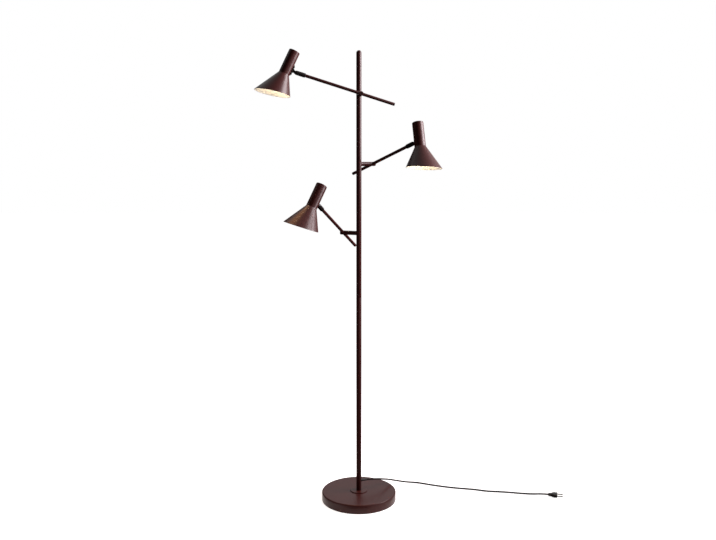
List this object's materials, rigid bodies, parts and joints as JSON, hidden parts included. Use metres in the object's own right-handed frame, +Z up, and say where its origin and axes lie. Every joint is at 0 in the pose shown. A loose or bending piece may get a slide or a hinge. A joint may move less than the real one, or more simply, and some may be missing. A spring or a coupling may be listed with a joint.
{
  "type": "tree floor lamp",
  "caption": "Floor lamp with a slim round pole on a weighted disc base and tilting arms at stepped heights, each with a swivelling spot shade.",
  "frame": {"origin": "centre of the underside of the base, on the floor", "axes": "+Z up along the pole, -Y towards the viewer of the picture, +X to the right in it"},
  "size_m": [1.0297, 0.4068, 1.5],
  "materials": {
    "coat": "dark burgundy powder coat, satin",
    "black_coat": "black powder coat, satin",
    "black_steel": "blackened steel screws",
    "black_plastic": "moulded black plastic, fine matt",
    "zinc": "zinc plated steel",
    "iron": "grey cast iron, as cast",
    "pad": "thin foam rubber pad",
    "moulded": "soft moulded plastic, dark",
    "cord": "round sheathed flexible cord, dark",
    "lead": "inner lead in a pale sleeve",
    "pins": "nickel plated brass pins",
    "holder": "white moulded lamp holder",
    "glass": "frosted glass ball bulb, lit",
    "cap": "bright aluminium screw cap"
  },
  "bodies": {
    "root": {"base_cover": "coat", "base_nut": "zinc", "base_pad": "pad", "base_stud": "zinc", "base_weight": "iron", "cord_relief": "moulded", "foot_flange": "coat", "friction_nuts": "zinc", "inner_lead": "lead", "plug_body": "moulded", "plug_pins": "pins", "pole_cap": "coat", "pole_joint": "zinc", "pole_lower": "coat", "pole_upper": "coat", "power_cord": "cord", "stub_bosses": "coat"},
    "upper_arm": {"upper_stub": "coat", "upper_stub_cap": "coat", "upper_grub_screw": "black_steel", "upper_arm_tube": "coat", "upper_arm_plug": "black_plastic"},
    "upper_sleeve": {"upper_sleeve": "black_coat", "upper_pivot_screw": "black_steel"},
    "upper_head": {"upper_lug": "black_coat", "upper_lug_screws": "black_steel", "upper_shade": "coat", "upper_holder_bracket": "zinc", "upper_lamp_holder": "holder", "upper_bulb_glass": "glass", "upper_bulb_cap": "cap"},
    "middle_arm": {"middle_stub": "coat", "middle_stub_cap": "coat", "middle_grub_screw": "black_steel", "middle_arm_tube": "coat", "middle_arm_plug": "black_plastic"},
    "middle_sleeve": {"middle_sleeve": "black_coat", "middle_pivot_screw": "black_steel"},
    "middle_head": {"middle_lug": "black_coat", "middle_lug_screws": "black_steel", "middle_shade": "coat", "middle_holder_bracket": "zinc", "middle_lamp_holder": "holder", "middle_bulb_glass": "glass", "middle_bulb_cap": "cap"},
    "lower_arm": {"lower_stub": "coat", "lower_stub_cap": "coat", "lower_grub_screw": "black_steel", "lower_arm_tube": "coat", "lower_arm_plug": "black_plastic"},
    "lower_sleeve": {"lower_sleeve": "black_coat", "lower_pivot_screw": "black_steel"},
    "lower_head": {"lower_lug": "black_coat", "lower_lug_screws": "black_steel", "lower_shade": "coat", "lower_holder_bracket": "zinc", "lower_lamp_holder": "holder", "lower_bulb_glass": "glass", "lower_bulb_cap": "cap"}
  },
  "joints": [
    {"name": "upper_arm_tilt", "type": "hinge", "parent": "root", "child": "upper_arm", "pos_m": [0.00683, -0.05558, 1.36], "axis": [-0.1219, 0.9925, 0], "range_deg": [-52, 18]},
    {"name": "upper_sleeve_swivel", "type": "hinge", "parent": "upper_arm", "child": "upper_sleeve", "pos_m": [-0.1906, -0.07982, 1.42081], "axis": [-0.9492, -0.1165, 0.2924], "range_deg": [-124.5, 115.5]},
    {"name": "upper_shade_tilt", "type": "hinge", "parent": "upper_sleeve", "child": "upper_head", "pos_m": [-0.1906, -0.07982, 1.42081], "axis": [0.1443, -0.9867, 0.075], "range_deg": [-51, 69]},
    {"name": "middle_arm_tilt", "type": "hinge", "parent": "root", "child": "middle_arm", "pos_m": [0.04472, 0.0337, 1.14], "axis": [-0.7986, -0.6018, 0], "range_deg": [-52.5, 17.5]},
    {"name": "middle_sleeve_swivel", "type": "hinge", "parent": "middle_arm", "child": "middle_sleeve", "pos_m": [0.16411, -0.12473, 1.20255], "axis": [0.574, -0.7617, 0.3007], "range_deg": [-113.5, 126.5]},
    {"name": "middle_shade_tilt", "type": "hinge", "parent": "middle_sleeve", "child": "middle_head", "pos_m": [0.16411, -0.12473, 1.20255], "axis": [0.814, 0.5708, -0.108], "range_deg": [-60, 60]},
    {"name": "lower_arm_tilt", "type": "hinge", "parent": "root", "child": "lower_arm", "pos_m": [-0.05155, 0.02188, 0.915], "axis": [-0.9205, 0.3907, 0], "range_deg": [-63, 7]},
    {"name": "lower_sleeve_swivel", "type": "hinge", "parent": "lower_arm", "child": "lower_sleeve", "pos_m": [-0.12331, -0.14717, 1.01265], "axis": [-0.345, -0.8128, 0.4695], "range_deg": [-105, 135]},
    {"name": "lower_shade_tilt", "type": "hinge", "parent": "lower_sleeve", "child": "lower_head", "pos_m": [-0.12331, -0.14717, 1.01265], "axis": [0.8417, -0.4893, -0.2285], "range_deg": [-62, 58]}
  ]
}
